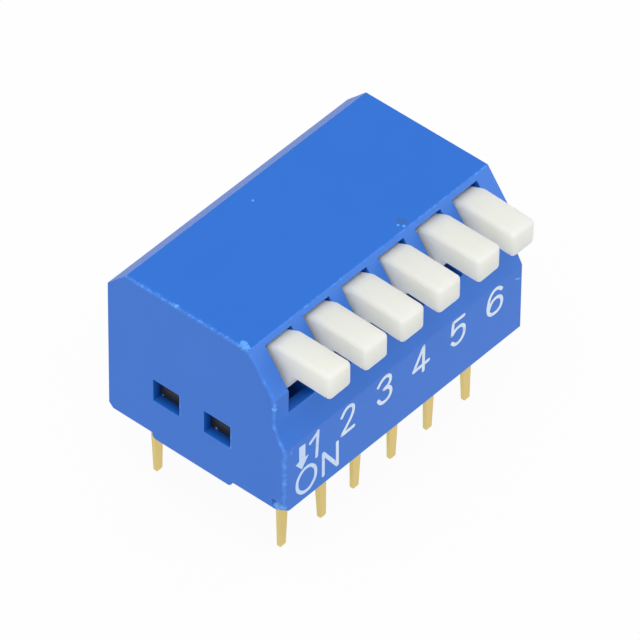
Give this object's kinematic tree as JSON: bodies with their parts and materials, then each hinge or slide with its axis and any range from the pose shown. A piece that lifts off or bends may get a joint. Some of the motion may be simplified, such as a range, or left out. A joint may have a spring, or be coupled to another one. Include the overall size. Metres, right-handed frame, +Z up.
{
  "type": "dip switch",
  "caption": "Piano-type DIP switch: blue moulded cover on a black base, white side levers that tip down to switch on, gold pins in two rows.",
  "frame": {"origin": "centre of the pin grid, on the surface of the circuit board, where the stand-off feet rest", "axes": "+X along the row from position 1 to 6, -Y towards the levers, +Z up, away from the board"},
  "size_m": [0.0164, 0.0122, 0.0132],
  "materials": {
    "cover_blue": "satin moulded",
    "base_black": "satin moulded",
    "lever_white": "satin moulded",
    "contact_gold": "gold plated",
    "terminal_gold": "gold plated"
  },
  "bodies": {
    "housing": {"cover": "cover_blue", "base": "base_black", "terminal_front_1": "terminal_gold", "terminal_front_2": "terminal_gold", "terminal_front_3": "terminal_gold", "terminal_front_4": "terminal_gold", "terminal_front_5": "terminal_gold", "terminal_front_6": "terminal_gold", "terminal_back_1": "terminal_gold", "terminal_back_2": "terminal_gold", "terminal_back_3": "terminal_gold", "terminal_back_4": "terminal_gold", "terminal_back_5": "terminal_gold", "terminal_back_6": "terminal_gold"},
    "switch_lever_1": {"lever_1": "lever_white", "contact_1": "contact_gold"},
    "switch_lever_2": {"lever_2": "lever_white", "contact_2": "contact_gold"},
    "switch_lever_3": {"lever_3": "lever_white", "contact_3": "contact_gold"},
    "switch_lever_4": {"lever_4": "lever_white", "contact_4": "contact_gold"},
    "switch_lever_5": {"lever_5": "lever_white", "contact_5": "contact_gold"},
    "switch_lever_6": {"lever_6": "lever_white", "contact_6": "contact_gold"}
  },
  "joints": [
    {"name": "lever_1_hinge", "type": "hinge", "parent": "housing", "child": "switch_lever_1", "pos_m": [-0.00635, -0.00124, 0.0071], "axis": [1, 0, 0], "range_deg": [0, 18]},
    {"name": "lever_2_hinge", "type": "hinge", "parent": "housing", "child": "switch_lever_2", "pos_m": [-0.00381, -0.00124, 0.0071], "axis": [1, 0, 0], "range_deg": [0, 18]},
    {"name": "lever_3_hinge", "type": "hinge", "parent": "housing", "child": "switch_lever_3", "pos_m": [-0.00127, -0.00124, 0.0071], "axis": [1, 0, 0], "range_deg": [0, 18]},
    {"name": "lever_4_hinge", "type": "hinge", "parent": "housing", "child": "switch_lever_4", "pos_m": [0.00127, -0.00124, 0.0071], "axis": [1, 0, 0], "range_deg": [0, 18]},
    {"name": "lever_5_hinge", "type": "hinge", "parent": "housing", "child": "switch_lever_5", "pos_m": [0.00381, -0.00124, 0.0071], "axis": [1, 0, 0], "range_deg": [0, 18]},
    {"name": "lever_6_hinge", "type": "hinge", "parent": "housing", "child": "switch_lever_6", "pos_m": [0.00635, -0.00124, 0.0071], "axis": [1, 0, 0], "range_deg": [0, 18]}
  ]
}
